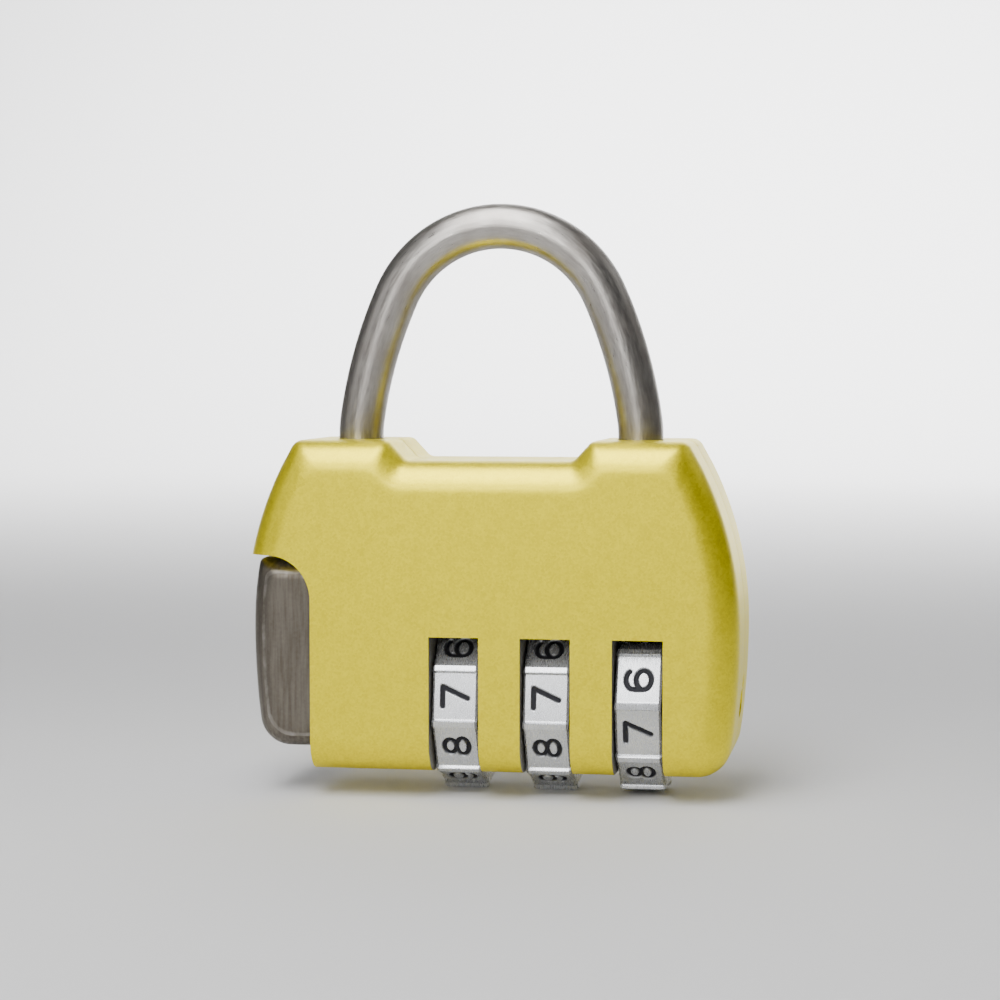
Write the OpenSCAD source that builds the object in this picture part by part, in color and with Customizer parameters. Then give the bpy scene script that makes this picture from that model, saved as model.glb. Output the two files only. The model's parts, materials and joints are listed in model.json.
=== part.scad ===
// Three-dial luggage padlock with a release button in its left flank.
// X runs along the axle of the dials to the right, Y runs to the back and Z up the shackle.
// The lock stands on its dials at Z = 0, and the two halves of the case meet at Y = 0.

/* [Case] */
// Width of the case where it is widest
case_w = 35; // [34:0.5:44]
// Depth of the case from front to back
case_d = 13; // [12.5:0.1:16]
// Height of the shoulders above the underside
case_h = 23.2; // [22.5:0.1:30]
// Thickness of the front and back walls
wall = 1.25; // [1:0.05:1.5]
// Rounding of the front and back edges
edge_r = 2.2; // [1:0.1:2.6]
// Rounding of the two bottom corners
corner_r = 2.4; // [1:0.1:3.5]
// Rounding of the outer shoulder corners
shoulder_r = 0.9; // [0.4:0.1:1.5]
// Height of the widest line above the underside
flank_h = 10.2; // [9:0.1:13]
// Radius of the flanks above the widest line
flank_r = 25; // [22:0.5:45]
// Radius of the flanks below the widest line
skirt_r = 60; // [40:1:90]
// Width of the saddle floor between the shoulders
saddle_w = 11.8; // [8:0.1:13]
// Depth of the saddle below the shoulders
saddle_drop = 1.4; // [0.6:0.1:2]
// Run of the slope at each end of the saddle
saddle_run = 1.3; // [0.6:0.1:2]
// Height of the dial axle above the underside
axle_h = 4.6; // [4.4:0.1:5.4]
// Height of the window tops above the axle
window_h = 5; // [3.5:0.1:5.6]
// Radius of the pins that join the two halves
pin_r = 0.7; // [0.5:0.05:0.9]
// Length of the pins that join the two halves
pin_len = 8.4; // [6:0.1:9.6]

/* [Dials] */
// Radius over the ribs of a dial
dial_r = 6.4; // [5.3:0.1:6.6]
// Width of a dial
dial_w = 3.2; // [2.6:0.05:3.9]
// Distance between neighbouring dials
dial_pitch = 6.4; // [5.8:0.1:6.8]
// Distance of the middle dial from the middle of the case
dial_mid_x = 4.2; // [3.4:0.1:4.6]
// Height of the ribs between the digits
rib_h = 0.22; // [0.1:0.02:0.4]
// Width of the ribs between the digits
rib_w = 0.45; // [0.3:0.05:0.8]
// Chamfer on the rims of a dial
rim_chamfer = 0.15; // [0.1:0.05:0.5]
// Height of the code digit above the axle on dials 1 and 2, in degrees
turn_12 = 8; // [0:1:18]
// Height of the code digit above the axle on dial 3, in degrees
turn_3 = 22; // [0:1:35]

/* [Sleeves and spindle] */
// Outer radius of the coding sleeves
sleeve_r = 3.1; // [2.9:0.05:3.3]
// Wall of the coding sleeves
sleeve_wall = 0.7; // [0.5:0.05:0.8]
// Thickness of the gated web in a sleeve
web_t = 0.7; // [0.5:0.05:0.8]
// Height of the coupling teeth
tooth_h = 0.6; // [0.4:0.05:0.7]
// Length of the coupling teeth
tooth_len = 0.8; // [0.6:0.05:0.85]
// Travel of the sleeves when the code is changed
reset_travel = 1; // [0.9:0.05:1.2]
// Radius of the spindle
spindle_r = 1.2; // [0.9:0.05:1.45]
// Radius that the spindle fins reach
fin_r = 2.2; // [1.8:0.05:2.25]
// Thickness of a fin along the axle
fin_t = 0.6; // [0.4:0.05:0.7]
// Width of a fin across the axle
fin_w = 0.8; // [0.5:0.05:1]
// Radius of the stem of the code-change pin
reset_r = 1; // [0.7:0.05:1.3]
// Depth of the code-change pin below the flank
reset_recess = 0.4; // [0.2:0.05:0.8]

/* [Button] */
// Width of the cut-out that the button fills
cutout_w = 5.1; // [4.6:0.1:5.4]
// Height of the button
button_h = 13.4; // [11:0.1:14]
// Height of the button's lower edge above the underside
button_rise = 1.45; // [1.2:0.05:2]
// Rounding of the button's front and back edges
button_edge_r = 1.5; // [0.5:0.1:2]
// Rounding of the button's lower corner
button_corner_r = 2.2; // [1:0.1:3]
// Rounding of the upper corner of the cut-out
cutout_r = 3.1; // [1:0.1:3.5]
// Setback of the button from the flank
button_set = 0.45; // [0.2:0.05:0.8]
// Thickness of the slider behind the button
slider_t = 1.2; // [0.8:0.1:1.3]

/* [Shackle] */
// Diameter of the shackle wire
shackle_d = 3.2; // [2.6:0.1:3.9]
// Distance between the legs of the shackle
shackle_span = 20.2; // [19.6:0.1:21]
// Radius of the haunches between leg and crown
haunch_r = 33; // [25:1:45]
// Lean of a haunch where it meets the crown, in degrees
haunch_lean = 24; // [18:1:28]
// Radius of the bend above each leg
foot_r = 8; // [5:0.5:12]
// Lean of a leg above the case, in degrees
foot_lean = 8; // [4:1:12]
// Height above the shoulders where the legs start to lean
foot_rise = 0.3; // [0:0.1:1]
// Length of the short leg inside the case
short_leg = 5.8; // [5:0.1:6.2]
// Lift of the shackle when it opens
lift = 6; // [5.2:0.1:6.4]
// Depth of the catch notch in the short leg
notch_d = 0.9; // [0.6:0.05:1.1]
// Height of the catch notch
notch_h = 1.3; // [1:0.1:1.8]
// Depth of the notch's upper edge below the shoulders
notch_in = 3.4; // [3:0.1:3.8]

/* [Springs and clips] */
// Thickness of the leaf springs
leaf_t = 0.3; // [0.2:0.05:0.4]
// Width of the catch leaf
catch_w = 2.4; // [1.6:0.1:3]
// Width of a detent finger
finger_w = 1.8; // [1.2:0.1:2.2]
// Diameter of the spring wire
wire_d = 0.32; // [0.2:0.02:0.36]
// Height of the compressed shackle spring
lift_spring_h = 1.85; // [1.7:0.05:2.4]
// Thickness of the retaining clips
clip_t = 0.45; // [0.3:0.05:0.5]
// Reach of a retaining clip beyond its shaft
clip_reach = 0.7; // [0.5:0.05:0.75]

/* [Fits] */
// Clearance of a turning or sliding round fit
run_gap = 0.08; // [0.05:0.01:0.1]
// Clearance beside a dial, a sleeve end, a fin or the button
side_gap = 0.15; // [0.1:0.01:0.2]
// Room around the rim of a dial in its pocket
dial_room = 0.2; // [0.15:0.05:0.4]
// Clearance of a tight fit that doesn't move
press_gap = 0.02; // [0.01:0.01:0.03]

/* [Hidden] */

round_fn = 64;      // facets that stand for a true circle
far = 60;           // longer than the whole lock, for cuts that run right through
skin = 0.01;        // thickness of one layer of a rounded edge
digits = 10;        // digits on a dial
step = 360 / digits;
yellow = [0.84, 0.76, 0.14];
steel = [0.74, 0.73, 0.71];
zinc = [0.62, 0.61, 0.58];
brass = [0.78, 0.62, 0.3];
spring_steel = [0.5, 0.51, 0.53];

// The lowest rib of any dial touches the ground, which sets the height of the axle.
rib_half = asin(rib_w / 2 / dial_r);
function rib_swing(turn) = let (past = (270 - turn - step / 2) % step) min(past, step - past);
lowest_swing = min(rib_swing(turn_12), rib_swing(turn_3));
axle_z = dial_r * cos(max(0, lowest_swing - rib_half));

// Heights of the case
base_z = axle_z - axle_h;
shoulder_z = base_z + case_h;
saddle_z = shoulder_z - saddle_drop;
flank_z = base_z + flank_h;
inner_y = case_d / 2 - wall;

// Dials and the sleeves inside them, along X
facet_r = dial_r - rib_h;
pocket_r = dial_r + dial_room;
pocket_w = dial_w + 2 * side_gap;
function dial_x(i) = dial_mid_x + (i - 1) * dial_pitch;
tooth_tip_r = sleeve_r + tooth_h;
bore_r = sleeve_r + run_gap;
tooth_x = dial_w / 2 - tooth_len - 0.5;       // left end of the teeth from the dial's middle
sleeve_back = dial_w / 2 + side_gap + 0.2;    // sleeve left of the dial's middle
sleeve_len = dial_pitch - 0.1;                // sleeves stand end to end with a slip gap
web_x = side_gap;                             // left face of the web from the dial's middle
fin_x = web_x - side_gap - fin_t;             // left face of a fin at rest
press = fin_t + web_t + 2 * side_gap;         // travel that takes a fin right through its web
sleeves_left = dial_x(0) - sleeve_back;
sleeves_right = dial_x(2) - sleeve_back + sleeve_len;
sleeve_spring_len = 2;
wall_right = sleeves_left - sleeve_spring_len - 0.05;   // bearing wall left of the sleeves
wall_left = wall_right - 1.2;

// Button, slider and the chamber behind them, along X
cut_x = -case_w / 2 + cutout_w;
button_low = base_z + button_rise;
button_top = button_low + button_h;
cut_top = button_top + 2 * side_gap;
slider_x = cut_x + 2 * side_gap;
seat_x = slider_x + slider_t;                 // right face of the slider
flange_t = 0.6;                               // flange of the spindle, behind the slider
flange_r = spindle_r + 1;
tip_z = shoulder_z - short_leg;
chamber_top = tip_z - 0.8;
chamber_low = button_low - 2 * side_gap;
slider_top = chamber_top - 0.6;
slider_low = chamber_low + side_gap;
button_y = inner_y - side_gap;

// Shackle: the crown's radius follows from the span and the bends below it
leg_r = shackle_d / 2;
leg_x = shackle_span / 2;
hole_r = leg_r + run_gap;
foot_z = shoulder_z + foot_rise;
foot_in = foot_r * (1 - cos(foot_lean));
haunch_in = haunch_r * (cos(foot_lean) - cos(haunch_lean));
haunch_z = foot_z + foot_r * sin(foot_lean);
crown_foot_z = haunch_z + haunch_r * (sin(haunch_lean) - sin(foot_lean));
crown_r = (leg_x - foot_in - haunch_in) / cos(haunch_lean);
crown_z = crown_foot_z - crown_r * sin(haunch_lean);
notch_z = shoulder_z - notch_in - notch_h;

// Long leg, its spring and its clip
spring_seat_z = axle_z + pocket_r + 0.7;
long_end_z = spring_seat_z + lift_spring_h + 0.1;
clip_z = long_end_z + 0.4;
well_r = leg_r + clip_reach + 0.2;
well_top = clip_z + clip_t + lift + 0.1;

// Catch leaf between the slider's arm and the notch
leaf_x = -leg_x + leg_r + side_gap;
leaf_foot_z = axle_z + flange_r + 1.2;
nose_h = notch_h - 2 * side_gap;
leaf_room = press + 2 * side_gap;             // space for the leaf to bend into
arm_z = chamber_top - 2.9;
arm_h = 1.2;

// Detent comb behind the upper side of the dials
detent_angle = 116;                           // from the front, over the top
detent_r = dial_r + 0.25;
finger_y = -detent_r * cos(detent_angle);
finger_z = axle_z + detent_r * sin(detent_angle);
comb_y = inner_y - side_gap;
comb_z = spring_seat_z + 0.3;
comb_h = 3;

// Places of the pins that join the halves: four round the edge and one in the middle
pin_places = [
    [(wall_right + dial_x(0) - pocket_w / 2) / 2 - 0.2, flank_z + 0.6],
    [dial_x(2) + pocket_w / 2 + pin_r + 1.3, flank_z + 0.6],
    [dial_x(2) + pocket_w / 2 + pin_r + 1.3, shoulder_z - 5.4],
    [-leg_x - hole_r - pin_r - 1, shoulder_z - 5.4],
    [dial_mid_x / 2 - 1, saddle_z - 3.6]];
// Hollow above the dials
attic_x = [wall_right + 1.6, leg_x - well_r - 1];
attic_z = [axle_z + pocket_r + 1.4, saddle_z - wall - 0.3];
post_r = pin_r + 1;

// ---------- Shared shapes ----------

function arc(cx, cz, r, from, to, n) =
    [for (i = [0 : n]) let (a = from + (to - from) * i / n) [cx + r * cos(a), cz + r * sin(a)]];

// Distance of the flank from the middle of the case at height z
function flank_x(z) = z > flank_z
    ? case_w / 2 - flank_r + sqrt(flank_r ^ 2 - (z - flank_z) ^ 2)
    : case_w / 2 - skirt_r + sqrt(skirt_r ^ 2 - (z - flank_z) ^ 2);

// Right side of the case from the bottom corner to the shoulder, as four tangent arcs
function case_side() =
    let (low = flank_z - base_z - corner_r, high = shoulder_z - shoulder_r - flank_z,
        low_x = sqrt((skirt_r - corner_r) ^ 2 - low ^ 2),
        high_x = sqrt((flank_r - shoulder_r) ^ 2 - high ^ 2),
        low_a = atan2(low, low_x), high_a = atan2(high, high_x))
    concat(
        arc(case_w / 2 - skirt_r + low_x, base_z + corner_r, corner_r, -90, -low_a, 9),
        arc(case_w / 2 - skirt_r, flank_z, skirt_r, -low_a * 0.75, 0, 3),
        arc(case_w / 2 - flank_r, flank_z, flank_r, high_a * 0.1, high_a * 0.95, 9),
        arc(case_w / 2 - flank_r + high_x, shoulder_z - shoulder_r, shoulder_r, high_a, 90, 5));

module case_outline() {
    side = case_side();
    last = len(side) - 1;
    polygon(concat(side, [for (i = [last : -1 : 0]) [-side[i][0], side[i][1]]]));
}

// Outline of the button: it follows the flank and has one large lower corner
module button_outline() {
    left = -flank_x(button_low + button_corner_r) + button_set;
    over = cut_x + 4;
    span = button_h - button_corner_r - 0.5;
    polygon(concat(
        [[over, button_low]],
        [for (a = [-90 : -15 : -180])
            [left + button_corner_r * (1 + cos(a)), button_low + button_corner_r * (1 + sin(a))]],
        [for (i = [1 : 6]) let (z = button_low + button_corner_r + span * i / 6)
            [-flank_x(z) + button_set, z]],
        [[-flank_x(button_top) + button_set + 0.6, button_top], [over, button_top]]));
}

// A flat outline in XZ made thick towards the front, with its front edge rounded
module rounded_slab(depth, r) {
    rotate([90, 0, 0]) hull() {
        linear_extrude(depth - r) children();
        for (a = [18 : 18 : 90]) translate([0, 0, depth - r + r * sin(a) - skin])
            linear_extrude(skin) offset(delta = -r * (1 - cos(a))) children();
    }
}

// Cylinder along X, from x0 to x1
module rod(x0, x1, r) {
    translate([x0, 0, 0]) rotate([0, 90, 0]) cylinder(h = x1 - x0, r = r, $fn = round_fn);
}

// The same on the axle of the dials
module axle_rod(x0, x1, r) {
    translate([0, 0, axle_z]) rod(x0, x1, r);
}

module post(x, z0, z1, r) {
    translate([x, 0, z0]) cylinder(h = z1 - z0, r = r, $fn = round_fn);
}

module block(x, y, z) {
    translate([x[0], y[0], z[0]]) cube([x[1] - x[0], y[1] - y[0], z[1] - z[0]]);
}

// Closed tube through rings of points that are listed one ring after the other
module tube(points, sides) {
    last = len(points) / sides - 1;
    walls = [for (i = [0 : last - 1], j = [0 : sides - 1]) let (k = (j + 1) % sides)
        [i * sides + j, i * sides + k, (i + 1) * sides + k, (i + 1) * sides + j]];
    polyhedron(points = points, faces = concat(walls,
        [[for (j = [sides - 1 : -1 : 0]) j], [for (j = [0 : sides - 1]) last * sides + j]]));
}

// Open coil spring along +Z from its foot
module coil(mean_r, turns, height) {
    around = 16;
    sides = 6;
    last = turns * around;
    tube([for (i = [0 : last], j = [0 : sides - 1])
        let (a = 360 * i / around, b = 360 * j / sides, r = mean_r + wire_d / 2 * cos(b))
        [r * cos(a), r * sin(a), wire_d / 2 * (1 + sin(b)) + (height - wire_d) * i / last]], sides);
}

// ---------- Case ----------

// Everything that is cut out of the closed case, for both halves
module case_cuts() {
    // saddle between the shoulders
    rotate([90, 0, 0]) translate([0, 0, -far / 2]) linear_extrude(far) polygon([
        [-saddle_w / 2, saddle_z], [saddle_w / 2, saddle_z],
        [saddle_w / 2 + saddle_run, shoulder_z], [saddle_w / 2 + saddle_run, shoulder_z + 1],
        [-saddle_w / 2 - saddle_run, shoulder_z + 1], [-saddle_w / 2 - saddle_run, shoulder_z]]);
    // pockets of the dials, open to the front, the back and below
    for (i = [0 : 2]) {
        axle_rod(dial_x(i) - pocket_w / 2, dial_x(i) + pocket_w / 2, pocket_r);
        block([dial_x(i) - pocket_w / 2, dial_x(i) + pocket_w / 2], [-far / 2, far / 2],
            [-1, axle_z + window_h]);
    }
    // bore of the sleeves, with the flange of the code-change pin at its right end
    axle_rod(wall_right, sleeves_right + 0.9, bore_r);
    axle_rod(sleeves_right, far, reset_r + run_gap);
    axle_rod(wall_left - 1, wall_right + 1, spindle_r + run_gap);
    button_cutout();
    slider_chamber();
    // short leg, and the slot for the nose of its catch
    post(-leg_x, chamber_top - 0.1, far, hole_r);
    block([-leg_x, leaf_x + leaf_t + leaf_room], [-1, 1] * (catch_w / 2 + side_gap),
        [chamber_top - 0.1, notch_z + notch_h + side_gap]);
    // long leg, and the well of its spring and clip
    post(leg_x, spring_seat_z, well_top, well_r);
    post(leg_x, well_top - 0.1, far, hole_r);
    attic();
    for (p = pin_places) translate([p[0], 0, p[1]]) rotate([90, 0, 0])
        cylinder(h = pin_len + 2 * press_gap, r = pin_r + press_gap, center = true, $fn = round_fn);
}

// Open corner of the case for the button, with a rounded upper corner
module button_cutout() {
    rotate([90, 0, 0]) translate([0, 0, -far / 2]) linear_extrude(far) polygon(concat(
        [[-far, -1], [cut_x, -1]],
        arc(cut_x - cutout_r, cut_top - cutout_r, cutout_r, 0, 90, 12),
        [[-far, cut_top]]));
}

// Room for the slider, its arm, the catch leaf and the button's spring
module slider_chamber() {
    block([cut_x - cutout_r, wall_left], [-inner_y, inner_y], [chamber_low, cut_top]);
    block([slider_x - press_gap, wall_left], [-inner_y, inner_y], [chamber_low, chamber_top]);
    block([wall_left - 0.1, leaf_x + leaf_t + leaf_room], [-1, 1] * (catch_w / 2 + side_gap),
        [leaf_foot_z + 0.8, chamber_top]);
    // slot that holds the foot of the catch leaf
    block([wall_left - 0.1, wall_left + 0.7 + press_gap], [-1, 1] * (catch_w / 2 + press_gap),
        [leaf_foot_z - press_gap, leaf_foot_z + leaf_t + press_gap]);
}

// Hollow over the dials, with a post left standing round the middle pin
module attic() {
    difference() {
        block(attic_x, [-inner_y, inner_y], attic_z);
        translate([pin_places[4][0], 0, pin_places[4][1]]) rotate([90, 0, 0])
            cylinder(h = far, r = post_r, center = true, $fn = round_fn);
    }
}

// Pocket of the detent comb, in the back half only
module comb_cuts() {
    block([dial_x(0) - finger_w / 2 - 0.5, dial_x(2) + finger_w / 2 + 0.5] + [-1, 1] * press_gap,
        [comb_y - leaf_t - press_gap, comb_y + press_gap],
        [comb_z - press_gap, comb_z + comb_h + press_gap]);
    for (i = [0 : 2]) block([-1, 1] * (finger_w / 2 + side_gap) + [dial_x(i), dial_x(i)],
        [finger_y - 0.5, comb_y + press_gap], [finger_z - 0.5, comb_z + 0.1 + leaf_t + side_gap]);
}

module front_case() {
    color(yellow) difference() {
        rounded_slab(case_d / 2, edge_r) case_outline();
        case_cuts();
    }
}

module back_case() {
    color(yellow) difference() {
        mirror([0, 1, 0]) rounded_slab(case_d / 2, edge_r) case_outline();
        case_cuts();
        comb_cuts();
    }
}

module case_pins() {
    color(steel) for (p = pin_places) translate([p[0], 0, p[1]]) rotate([90, 0, 0])
        cylinder(h = pin_len, r = pin_r, center = true, $fn = round_fn);
}

// ---------- Dials, sleeves and spindle ----------

// Radial tooth along X, from radius r0 to r1, at an angle from the front
module spline(x0, x1, r0, r1, width, angle) {
    rotate([-angle, 0, 0]) block([x0, x1], [-r1, -r0], [-1, 1] * width / 2);
}

// Ten flat digit facets with a raised rib at each corner, and inner grooves for the sleeve
module dial(turn) {
    half = dial_w / 2;
    color(steel) difference() {
        union() {
            intersection() {
                rotate([-turn - step / 2, 0, 0]) rotate([0, 90, 0]) rotate(90)
                    cylinder(h = dial_w, r = facet_r, center = true, $fn = digits);
                rim();
            }
            for (k = [0 : digits - 1]) intersection() {
                spline(-half, half, facet_r - 1, dial_r + 1, rib_w, turn + (k + 0.5) * step);
                rim();
            }
        }
        rod(-dial_w, dial_w, bore_r);
        rod(-dial_w, tooth_x, tooth_tip_r + 2 * run_gap);
        for (k = [0 : digits - 1]) spline(0, tooth_x + tooth_len + run_gap, 0,
            tooth_tip_r + run_gap, 2 * tooth_h + 2 * run_gap, (k + 0.5) * step);
    }
}

// Round blank of a dial with both rims chamfered
module rim() {
    flat = dial_w / 2 - rim_chamfer;
    rotate([0, 90, 0]) rotate_extrude($fn = round_fn) polygon([
        [0, -dial_w / 2], [dial_r - rim_chamfer, -dial_w / 2], [dial_r, -flat], [dial_r, flat],
        [dial_r - rim_chamfer, dial_w / 2], [0, dial_w / 2]]);
}

// Puts a shape that is drawn about the X axis in the place of dial i
module at_dial(i) {
    translate([dial_x(i), 0, axle_z]) children();
}

module dial_1() { at_dial(0) dial(turn_12); }
module dial_2() { at_dial(1) dial(turn_12); }
module dial_3() { at_dial(2) dial(turn_3); }

// Tube with coupling teeth outside and one gated web inside; the gate faces the front
module sleeve() {
    right = sleeve_len - sleeve_back;
    web_end = web_x + web_t;
    color(brass) difference() {
        union() {
            rod(-sleeve_back, right, sleeve_r);
            for (k = [0 : digits - 1]) spline(tooth_x, tooth_x + tooth_len, sleeve_r - 0.3,
                tooth_tip_r, 2 * tooth_h, (k + 0.5) * step);
        }
        rod(-sleeve_back - 1, web_x, sleeve_r - sleeve_wall);
        rod(web_end, right + 1, sleeve_r - sleeve_wall);
        rod(-sleeve_back, right, spindle_r + run_gap);
        spline(0, web_end + 0.1, 0, fin_r + side_gap, fin_w + 2 * side_gap, 0);
    }
}

module sleeve_1() { at_dial(0) sleeve(); }
module sleeve_2() { at_dial(1) sleeve(); }
module sleeve_3() { at_dial(2) sleeve(); }

// Rod with three fins, a spring flange and a clip groove behind the slider
clip_groove_r = spindle_r - 0.35;
spindle_left = slider_x - clip_t - 0.6;
module spindle() {
    color(steel) difference() {
        union() {
            axle_rod(spindle_left, dial_x(2) + fin_x + fin_t + 1.2, spindle_r);
            axle_rod(seat_x, seat_x + flange_t, flange_r);
            for (i = [0 : 2]) at_dial(i) spline(fin_x, fin_x + fin_t, 0, fin_r, fin_w, 0);
        }
        difference() {
            axle_rod(slider_x - clip_t, slider_x, flange_r);
            axle_rod(slider_x - clip_t - 1, slider_x + 1, clip_groove_r);
        }
    }
}

// Open ring that snaps on from above
module snap_ring(shaft_r, reach) {
    difference() {
        cylinder(h = clip_t - press_gap, r = shaft_r + reach, $fn = round_fn);
        translate([0, 0, -1]) cylinder(h = 3, r = shaft_r + press_gap, $fn = round_fn);
        translate([0, -shaft_r * 0.7, -1]) cube([far, shaft_r * 1.4, 3]);
    }
}

module spindle_clip() {
    color(spring_steel) translate([slider_x - clip_t, 0, axle_z]) rotate([0, 90, 0])
        rotate(180) snap_ring(clip_groove_r, clip_reach + 0.3);
}

// ---------- Button ----------

// Two rivets above the spindle's flange, with their heads on the slider
rivet_r = 0.7;
rivet_head_r = 1.2;
rivet_in = 1.9;
rivet_z = [axle_z + flange_r + rivet_head_r + 0.1, slider_low + 10.6];
module rivet_shafts(r, left, right) {
    for (z = rivet_z) translate([slider_x - left, 0, z]) rotate([0, 90, 0])
        cylinder(h = left + right, r = r, $fn = round_fn);
}

module side_button() {
    color(zinc) difference() {
        intersection() {
            union() {
                rounded_slab(button_y, button_edge_r) button_outline();
                mirror([0, 1, 0]) rounded_slab(button_y, button_edge_r) button_outline();
            }
            block([-far, slider_x], [-far, far], [0, far]);
        }
        // pocket of the spindle end and its clip, and holes of the two rivets
        axle_rod(spindle_left - 0.2, slider_x + 1, spindle_r + clip_reach + 0.3);
        rivet_shafts(rivet_r + press_gap, rivet_in + press_gap, 1);
    }
}

// Plate that closes the button, stops it behind the cut-out and carries the arm for the catch
module button_slider() {
    color(spring_steel) difference() {
        union() {
            block([slider_x, seat_x], [-button_y + 0.2, button_y - 0.2], [slider_low, slider_top]);
            block([seat_x - 0.1, leaf_x - side_gap], [-catch_w / 2, catch_w / 2],
                [arm_z, arm_z + arm_h]);
        }
        axle_rod(slider_x - 1, seat_x + 1, spindle_r + press_gap);
        rivet_shafts(rivet_r + press_gap, 1, slider_t + 1);
    }
}

module button_rivets() {
    color(steel) {
        rivet_shafts(rivet_r, rivet_in, slider_t);
        translate([slider_t, 0, 0]) rivet_shafts(rivet_head_r, 0, 0.4);
    }
}

// Flanged pin that pushes the sleeves out of the dials when the code is changed
module reset_pin() {
    color(brass) {
        axle_rod(sleeves_right + 0.05, sleeves_right + 0.6, sleeve_r - 0.1);
        axle_rod(sleeves_right + 0.5, flank_x(axle_z) - reset_recess, reset_r);
    }
}

// ---------- Shackle ----------

// Middle line of the bent wire as [x, z, direction of the outer side], right leg first
function bend(cx, cz, r, from, to, n) =
    [for (i = [1 : n]) let (a = from + (to - from) * i / n) [cx + r * cos(a), cz + r * sin(a), a]];
right_bend = concat([[leg_x, foot_z - 1, 0], [leg_x, foot_z, 0]],
    bend(leg_x - foot_r, foot_z, foot_r, 0, foot_lean, 3),
    bend(leg_x - foot_in - haunch_r * cos(foot_lean), haunch_z - haunch_r * sin(foot_lean),
        haunch_r, foot_lean, haunch_lean, 5),
    bend(0, crown_z, crown_r, haunch_lean, 90, 10));
bend_last = len(right_bend) - 1;
wire_path = concat(right_bend, [for (i = [bend_last - 1 : -1 : 0])
    [-right_bend[i][0], right_bend[i][1], 180 - right_bend[i][2]]]);

// Bent part of the wire, a hair thinner than the legs that it grows out of
module bent_wire() {
    sides = 24;
    r = leg_r - 0.005;
    tube([for (p = wire_path, j = [0 : sides - 1]) let (b = -360 * j / sides)
        [p[0] + r * cos(b) * cos(p[2]), r * sin(b), p[1] + r * cos(b) * sin(p[2])]], sides);
}

module shackle() {
    color(steel) difference() {
        union() {
            bent_wire();
            post(-leg_x, tip_z + 0.5, foot_z, leg_r);
            translate([-leg_x, 0, tip_z])
                cylinder(h = 0.5, r1 = leg_r - 0.5, r2 = leg_r, $fn = round_fn);
            post(leg_x, long_end_z, foot_z, leg_r);
            post(leg_x, long_end_z - lift_spring_h * 0.6, long_end_z, leg_r - 0.7);
        }
        // notch for the catch
        block([-leg_x + leg_r - notch_d, -leg_x + leg_r + 1], [-far, far], [notch_z, notch_z + notch_h]);
        // groove for the retaining clip
        difference() {
            post(leg_x, clip_z, clip_z + clip_t, leg_r + 1);
            post(leg_x, clip_z - 1, clip_z + 2, leg_r - 0.4);
        }
    }
}

module shackle_clip() {
    color(spring_steel) translate([leg_x, 0, clip_z]) snap_ring(leg_r - 0.4, clip_reach + 0.4);
}

// ---------- Springs ----------

module button_spring() {
    color(spring_steel) translate([seat_x + flange_t, 0, axle_z]) rotate([0, 90, 0])
        coil(spindle_r + run_gap + 0.5, 4, wall_left - seat_x - flange_t);
}

module sleeve_spring() {
    color(spring_steel) translate([wall_right, 0, axle_z]) rotate([0, 90, 0])
        coil(sleeve_r - sleeve_wall / 2 - 0.05, 2, sleeve_spring_len);
}

module shackle_spring() {
    color(spring_steel) translate([leg_x, 0, spring_seat_z]) coil(leg_r, 4, lift_spring_h);
}

// Strip with three sprung fingers, each with a round nose that drops between two ribs
module detent_spring() {
    run = comb_y - leaf_t / 2 - finger_y;
    drop = comb_z + 0.1 - finger_z;
    slope = atan2(drop, run);
    color(spring_steel) {
        block([dial_x(0) - finger_w / 2 - 0.5, dial_x(2) + finger_w / 2 + 0.5],
            [comb_y - leaf_t, comb_y], [comb_z, comb_z + comb_h]);
        for (i = [0 : 2]) translate([dial_x(i), finger_y, finger_z]) {
            rotate([slope, 0, 0]) block([-1, 1] * finger_w / 2, [0, sqrt(run ^ 2 + drop ^ 2)],
                [0, leaf_t]);
            rotate([0, 90, 0]) cylinder(h = finger_w, r = leaf_t, center = true, $fn = round_fn);
        }
    }
}

// Upright leaf with a foot in the case and a nose in the notch of the short leg
module catch_spring() {
    color(spring_steel) union() {
        block([leaf_x, leaf_x + leaf_t], [-catch_w / 2, catch_w / 2],
            [leaf_foot_z, notch_z + side_gap + nose_h]);
        block([leaf_x, wall_left + 0.7], [-catch_w / 2, catch_w / 2],
            [leaf_foot_z, leaf_foot_z + leaf_t]);
        block([-leg_x + leg_r - notch_d + 0.1, leaf_x + 0.1], [-1, 1] * leg_r * 0.6,
            [notch_z + side_gap, notch_z + side_gap + nose_h]);
    }
}

front_case();
back_case();
case_pins();
dial_1();
dial_2();
dial_3();
sleeve_1();
sleeve_2();
sleeve_3();
spindle();
spindle_clip();
side_button();
button_slider();
button_rivets();
reset_pin();
shackle();
shackle_clip();
button_spring();
sleeve_spring();
shackle_spring();
detent_spring();
catch_spring();
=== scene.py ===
"""Three-dial luggage padlock: smooth painted shells, engraved dials, bent wire and metal
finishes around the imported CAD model. Shapes are worked out in millimetres and stored in metres."""
import json
import math

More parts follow.
